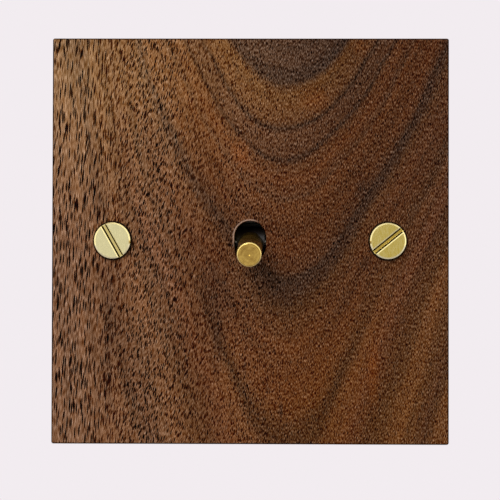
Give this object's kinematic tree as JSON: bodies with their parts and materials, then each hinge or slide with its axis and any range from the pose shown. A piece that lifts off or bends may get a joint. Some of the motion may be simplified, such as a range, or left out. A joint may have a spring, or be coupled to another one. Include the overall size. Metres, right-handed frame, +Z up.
{
  "type": "toggle light switch",
  "caption": "Square walnut wall plate with slotted brass screws and a short turned brass dolly that tilts up and down in a round-ended slot, with the switch mechanism behind it.",
  "frame": {"origin": "middle of the plate's back face, on the wall plane, midway between the fixing screws", "axes": "+X right seen from the room, +Y into the wall, +Z up"},
  "size_m": [0.087, 0.0447, 0.089],
  "materials": {
    "walnut": "oiled, open grain",
    "turned_brass": "turned, lacquered",
    "pale_brass": "polished flat",
    "terminal_brass": "machined",
    "plated_steel": "zinc plated",
    "bright_steel": "ground",
    "contact_silver": "satin",
    "black_nylon": "moulded",
    "brown_nylon": "moulded"
  },
  "bodies": {
    "switch_frame": {"wooden_faceplate": "walnut", "fixing_screw_left": "pale_brass", "fixing_screw_right": "pale_brass", "steel_yoke": "plated_steel", "yoke_wood_screws": "plated_steel", "mechanism_cover": "black_nylon", "mechanism_body": "black_nylon", "housing_screws": "plated_steel", "module_screws": "plated_steel", "dolly_pivot_pin": "bright_steel", "terminal_upper": "terminal_brass", "terminal_lower": "terminal_brass", "terminal_common": "terminal_brass", "fixed_contact_upper": "contact_silver", "fixed_contact_lower": "contact_silver", "terminal_screws": "terminal_brass", "earth_terminal": "terminal_brass", "earth_screw": "terminal_brass"},
    "dolly": {"brass_dolly": "turned_brass", "dolly_carrier": "brown_nylon", "plunger_spring": "bright_steel"},
    "plunger": {"spring_plunger": "bright_steel"},
    "rocker": {"rocker_contact": "terminal_brass", "moving_contact_tips": "contact_silver"}
  },
  "joints": [
    {"name": "dolly_tilt", "type": "hinge", "parent": "switch_frame", "child": "dolly", "pos_m": [0, -0.0016, 0], "axis": [-1, 0, 0], "range_deg": [0, 20]},
    {"name": "plunger_slide", "type": "slide", "parent": "dolly", "child": "plunger", "axis": [0, 0.9848, 0.1736], "range_m": [0, 0.00025], "stiffness_N_per_m": 500},
    {"name": "rocker_tilt", "type": "hinge", "parent": "switch_frame", "child": "rocker", "pos_m": [0, 0.00825, 0], "axis": [1, 0, 0], "range_deg": [0, 12]}
  ],
  "couplings": [
    {"joint": "rocker_tilt", "follows": "dolly_tilt", "ratio": 0.6}
  ]
}
